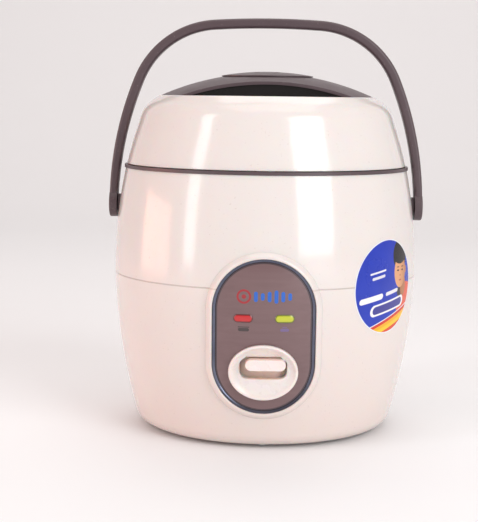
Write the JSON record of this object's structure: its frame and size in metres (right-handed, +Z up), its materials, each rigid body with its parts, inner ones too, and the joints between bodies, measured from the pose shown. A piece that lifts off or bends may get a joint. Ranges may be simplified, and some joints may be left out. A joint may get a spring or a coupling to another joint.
{
  "type": "rice cooker",
  "caption": "Barrel-shaped electric rice cooker with a hinged lid, bail handle, inner pot, steam cap and a front panel with a cook lever.",
  "frame": {"origin": "on the table under the middle of the casing", "axes": "+Z up, -Y towards the front panel, +X to the right of someone facing the panel"},
  "size_m": [0.2174, 0.2168, 0.2811],
  "materials": {
    "shell_white": "glossy moulded polypropylene, warm off-white",
    "trim_taupe": "satin moulded plastic, dark taupe",
    "pocket_black": "glossy black moulded plastic",
    "panel_taupe": "printed panel behind clear gloss coat",
    "trim_chrome": "dark plated rim",
    "lens_red": "tinted translucent lens",
    "lens_green": "tinted translucent lens",
    "key_white": "glossy white moulding",
    "inner_grey": "plain moulded plastic",
    "inlet_black": "fine-textured black moulding",
    "pot_coating": "aluminium with speckled non-stick coating",
    "spun_aluminium": "spun, satin",
    "cast_aluminium": "cast and turned",
    "plated_steel": "zinc-plated steel",
    "contact_brass": "plated brass pins",
    "soft_rubber": "black rubber",
    "silicone": "translucent white silicone",
    "lamp_glass": "small neon lamps",
    "board_green": "coated circuit board",
    "label_print": "printed paper label with gloss film"
  },
  "bodies": {
    "cooker": {"lower_casing": "shell_white", "upper_casing": "shell_white", "rim_frame": "trim_taupe", "hinge_pin": "plated_steel", "inner_pot": "pot_coating", "inner_chamber": "spun_aluminium", "heating_plate": "cast_aluminium", "thermostat_sleeve": "plated_steel", "thermostat_sensor": "spun_aluminium", "thermostat_spring": "plated_steel", "keep_warm_band": "silicone", "thermal_fuse": "plated_steel", "chamber_legs": "plated_steel", "base_plate": "inner_grey", "base_screws": "plated_steel", "base_feet": "soft_rubber", "inlet_housing": "inlet_black", "inlet_pins": "contact_brass", "panel_bezel": "shell_white", "panel_trim": "trim_chrome", "panel_face": "panel_taupe", "cook_lens": "lens_red", "warm_lens": "lens_green", "switch_bezel": "key_white", "indicator_lamps": "lamp_glass", "lamp_board": "board_green", "round_label": "label_print", "lever_spring": "plated_steel", "switch_bracket": "plated_steel", "arm_pin": "plated_steel", "microswitch": "inlet_black", "bail_pivots": "shell_white"},
    "cook_lever": {"cook_lever": "key_white"},
    "switch_arm": {"switch_arm": "inner_grey"},
    "magnet_carrier": {"magnet_carrier": "plated_steel"},
    "lid": {"lid_cover": "shell_white", "lid_dome": "trim_taupe", "finger_pocket": "pocket_black", "latch_pin": "plated_steel", "latch_spring": "plated_steel", "lid_liner": "inner_grey", "lid_screws": "plated_steel", "inner_lid_plate": "spun_aluminium", "lid_gasket": "silicone", "steam_tube": "silicone"},
    "release_button": {"release_button": "pocket_black"},
    "latch_hook": {"latch_hook": "inner_grey"},
    "steam_cap": {"steam_cap": "trim_taupe"},
    "bail": {"bail_handle": "trim_taupe"}
  },
  "joints": [
    {"name": "lid_hinge", "type": "hinge", "parent": "cooker", "child": "lid", "pos_m": [0, 0.1024, 0.181], "axis": [-1, 0, 0], "range_deg": [0, 10]},
    {"name": "button_press", "type": "slide", "parent": "lid", "child": "release_button", "axis": [0, 0, -1], "range_m": [0, 0.0024], "stiffness_N_per_m": 400, "springref_m": -0.002, "deforming": ["latch_spring"]},
    {"name": "latch_turn", "type": "hinge", "parent": "lid", "child": "latch_hook", "pos_m": [0, -0.082, 0.1905], "axis": [-1, 0, 0], "range_deg": [0, 8.5]},
    {"name": "cap_lift", "type": "slide", "parent": "lid", "child": "steam_cap", "axis": [0, 0, 1], "range_m": [0, 0.008]},
    {"name": "bail_swing", "type": "hinge", "parent": "cooker", "child": "bail", "pos_m": [0, 0, 0.153], "axis": [-1, 0, 0], "range_deg": [-110, 110]},
    {"name": "lever_travel", "type": "slide", "parent": "cooker", "child": "cook_lever", "axis": [0, 0, -1], "range_m": [0, 0.006], "stiffness_N_per_m": 150, "springref_m": -0.006, "deforming": ["lever_spring"]},
    {"name": "arm_tilt", "type": "hinge", "parent": "cooker", "child": "switch_arm", "pos_m": [0, -0.026, 0.0272], "axis": [1, 0, 0], "range_deg": [0, 6.2]},
    {"name": "magnet_rise", "type": "slide", "parent": "cooker", "child": "magnet_carrier", "axis": [0, 0, 1], "range_m": [0, 0.0033]}
  ],
  "couplings": [
    {"joint": "latch_turn", "follows": "button_press", "rad_per_m": 58},
    {"joint": "arm_tilt", "follows": "lever_travel", "rad_per_m": 17.9},
    {"joint": "magnet_rise", "follows": "lever_travel", "ratio": 0.5333}
  ]
}
